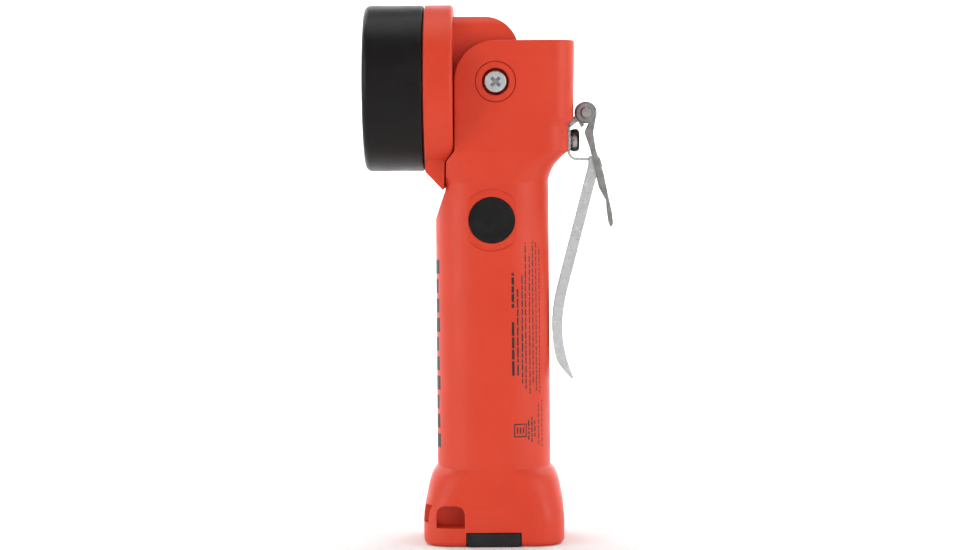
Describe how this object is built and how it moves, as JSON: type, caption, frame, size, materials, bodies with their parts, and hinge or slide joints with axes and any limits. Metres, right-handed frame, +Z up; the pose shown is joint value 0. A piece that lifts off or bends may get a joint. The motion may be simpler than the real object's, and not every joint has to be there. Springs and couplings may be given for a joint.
{
  "type": "firefighter flashlight",
  "caption": "Right-angle firefighter flashlight: orange grip with flared base, tilting black-bezelled head, side push switch and sprung steel jaw clip.",
  "frame": {"origin": "middle of the flat foot of the base, on the grip's axis", "axes": "+Z up the grip, -X the way the lamp faces, +X the clip side, -Y the switch side"},
  "size_m": [0.092, 0.0618, 0.2001],
  "materials": {
    "orange_plastic": "satin moulded nylon",
    "black_plastic": "matt moulded",
    "bezel_black": "satin moulded",
    "rubber": "matt",
    "foam": "matt foam",
    "stainless": "tumbled stainless steel",
    "steel": "zinc plated steel",
    "spring_steel": "bright wire",
    "plated_brass": "bare brass",
    "aluminium": "machined",
    "clear_lens": "polished polycarbonate",
    "reflector_chrome": "bright metallised",
    "led": "silicone dome",
    "board_green": "solder mask",
    "board_parts": "moulded epoxy",
    "wire_red": "silicone insulation",
    "cell_wrap": "shrink wrap"
  },
  "bodies": {
    "handle": {"handle_housing": "orange_plastic", "battery_cells": "cell_wrap", "battery_sleeve": "black_plastic", "battery_caps": "black_plastic", "battery_contacts": "plated_brass", "battery_springs": "spring_steel", "bulkhead": "black_plastic", "bulkhead_screws": "steel", "door_pin": "steel", "switch_retainer": "black_plastic", "tactile_switch": "black_plastic", "circuit_board": "board_green", "board_parts": "board_parts", "wire_grommet": "rubber", "handle_wires": "wire_red", "clip_bracket": "stainless", "clip_mount_screw": "stainless", "clip_lock_washer": "stainless", "clip_insert": "plated_brass", "clip_bolt": "stainless", "clip_nut": "stainless", "clip_spring": "spring_steel"},
    "head": {"head_housing": "orange_plastic", "bezel": "bezel_black", "bezel_oring": "rubber", "lens": "clear_lens", "lens_gasket": "rubber", "reflector": "reflector_chrome", "led_emitter": "led", "led_board": "aluminium", "heat_sink": "aluminium", "head_screws": "steel", "head_wires": "wire_red", "pivot_bushes": "orange_plastic", "pivot_screws": "steel", "pivot_inserts": "plated_brass"},
    "switch": {"switch_button": "rubber"},
    "door": {"battery_door": "black_plastic", "door_seal": "rubber", "door_pad": "foam"},
    "clip_jaw": {"clip_lever": "stainless", "clip_leaf": "stainless", "clip_rivets": "stainless"}
  },
  "joints": [
    {"name": "head_tilt", "type": "hinge", "parent": "handle", "child": "head", "pos_m": [0.0018, 0, 0.1713], "axis": [0, 1, 0], "range_deg": [0, 90]},
    {"name": "switch_press", "type": "slide", "parent": "handle", "child": "switch", "axis": [0, 1, 0], "range_m": [0, 0.001], "stiffness_N_per_m": 2500, "springref_m": -0.0004},
    {"name": "door_open", "type": "hinge", "parent": "handle", "child": "door", "pos_m": [0, 0.0193, 0.0022], "axis": [1, 0, 0], "range_deg": [0, 95]},
    {"name": "clip_open", "type": "hinge", "parent": "handle", "child": "clip_jaw", "pos_m": [0.0351, 0, 0.1597], "axis": [0, -1, 0], "range_deg": [0, 30], "stiffness_Nm_per_rad": 0.3, "springref_deg": -22.92, "deforming": ["clip_spring"]}
  ]
}
